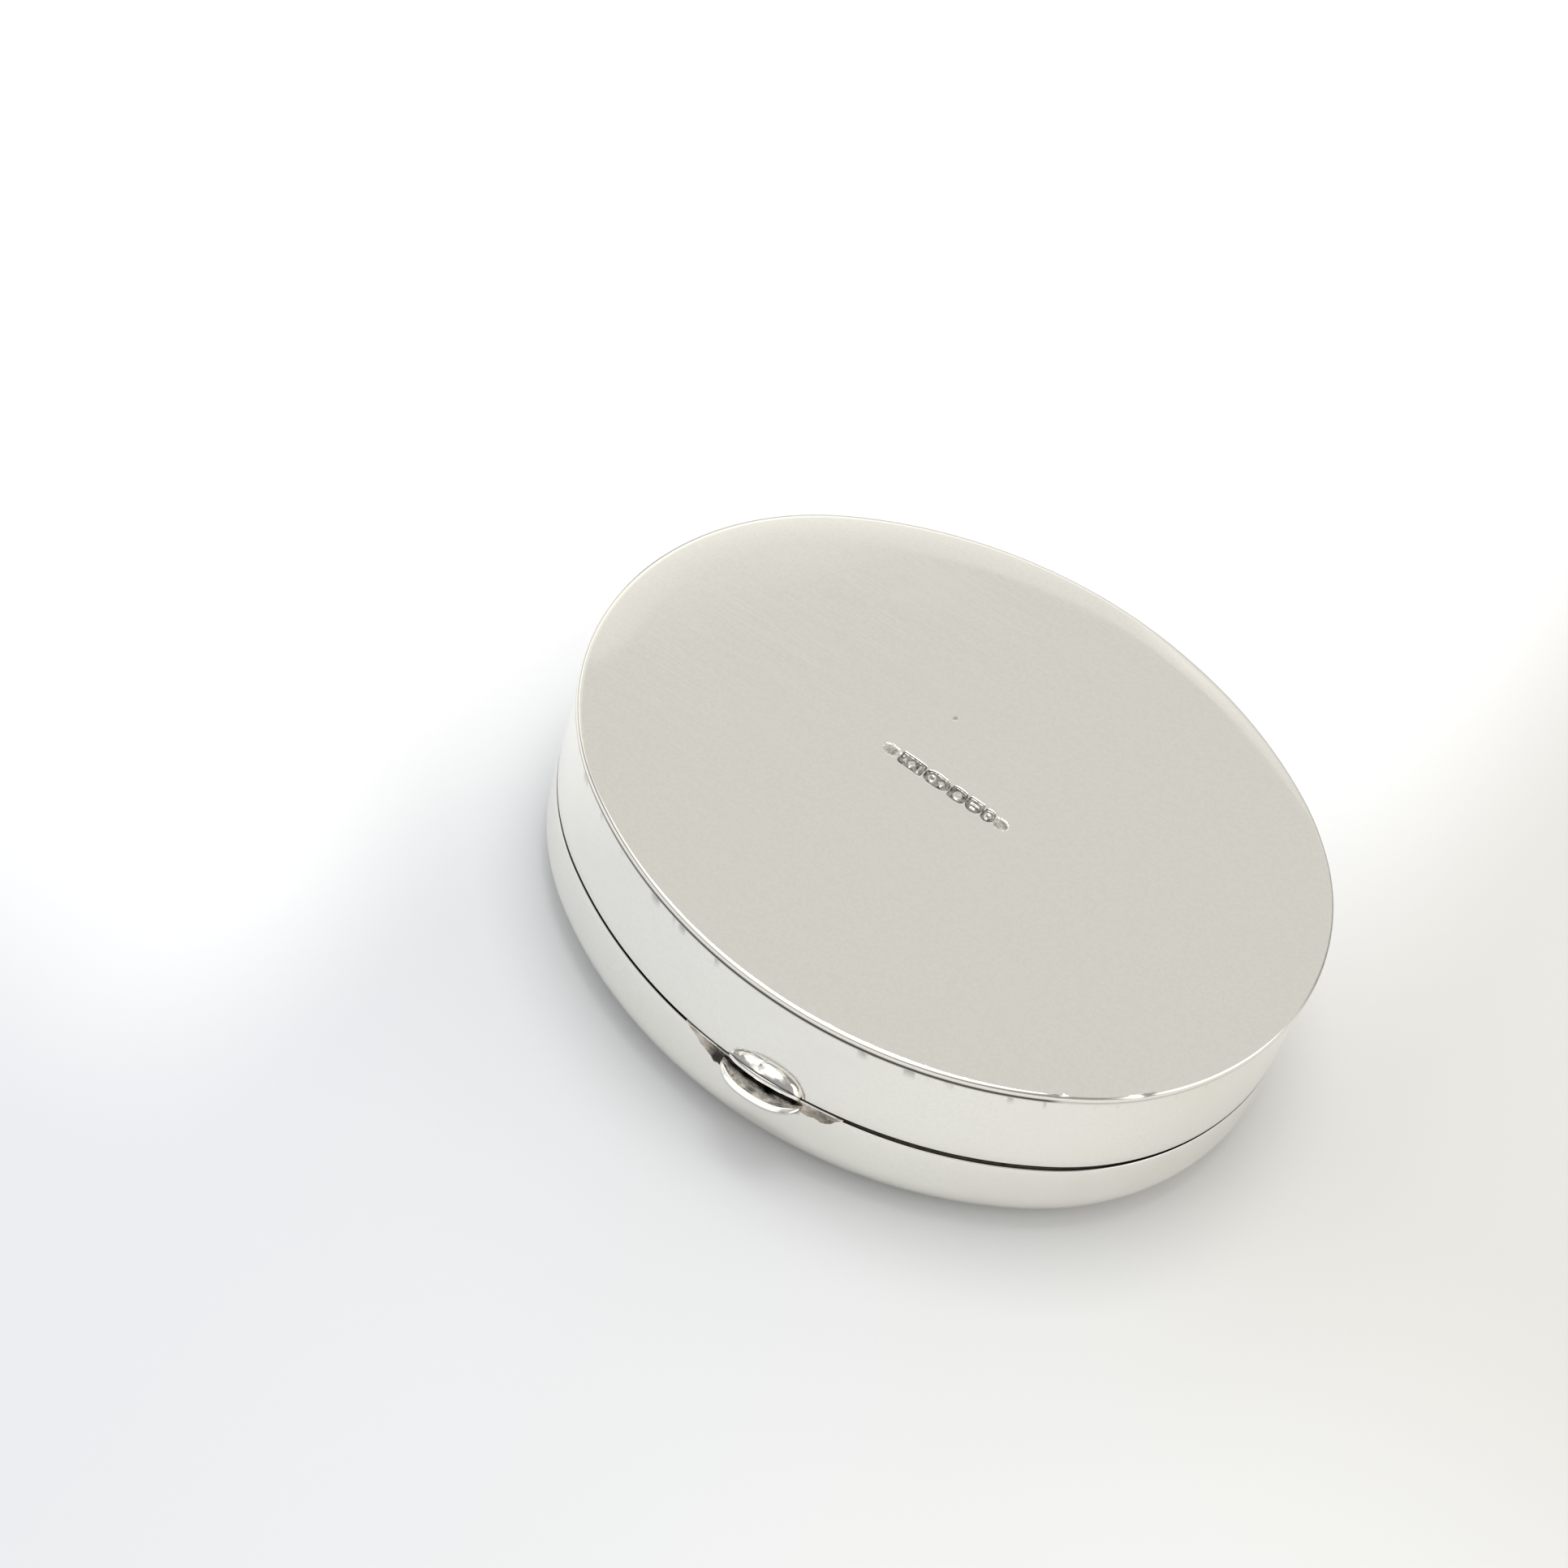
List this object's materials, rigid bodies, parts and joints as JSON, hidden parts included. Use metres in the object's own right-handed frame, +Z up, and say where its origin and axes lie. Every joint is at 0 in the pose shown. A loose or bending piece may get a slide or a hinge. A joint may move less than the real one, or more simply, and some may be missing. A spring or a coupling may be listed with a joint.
{
  "type": "hinged oval pill box",
  "caption": "Plain oval silver pill box, closed and resting upside down on its lid, with a flat overhanging base plate, a split thumb-piece at the front and a barrel hinge at the back.",
  "frame": {"origin": "centre of the oval, on the lid's flat resting face; the box lies closed and upside down, as it was pictured, so in use it is turned over", "axes": "+Z up from the lid to the base plate, +X along the oval's length, -Y towards the thumb-piece and +Y towards the hinge"},
  "size_m": [0.045, 0.039, 0.0133],
  "materials": {
    "lid_silver": "polished sterling silver, lightly worn",
    "body_silver": "polished sterling silver, lightly worn",
    "plate_silver": "satin-polished silver sheet with fine hairline wear",
    "thumb_silver": "bright polished silver",
    "solder": "tarnished solder",
    "inside_silver": "plain satin silver",
    "hinge_silver": "polished silver tube",
    "pin_metal": "drawn wire"
  },
  "bodies": {
    "lid": {"lid_shell": "lid_silver", "lid_thumb_piece": "thumb_silver", "thumb_solder_left": "solder", "thumb_solder_right": "solder", "lid_hinge_bearer": "inside_silver", "lid_knuckle_left": "hinge_silver", "lid_knuckle_right": "hinge_silver"},
    "box_body": {"body_wall": "body_silver", "base_plate": "plate_silver", "inner_rim": "inside_silver", "body_thumb_piece": "thumb_silver", "body_hinge_bearer": "inside_silver", "body_knuckle_left": "hinge_silver", "body_knuckle_centre": "hinge_silver", "body_knuckle_right": "hinge_silver", "hinge_pin": "pin_metal"}
  },
  "joints": [
    {"name": "lid_hinge", "type": "hinge", "parent": "lid", "child": "box_body", "pos_m": [0, 0.01805, 0.0062], "axis": [-1, 0, 0], "range_deg": [0, 110]}
  ]
}
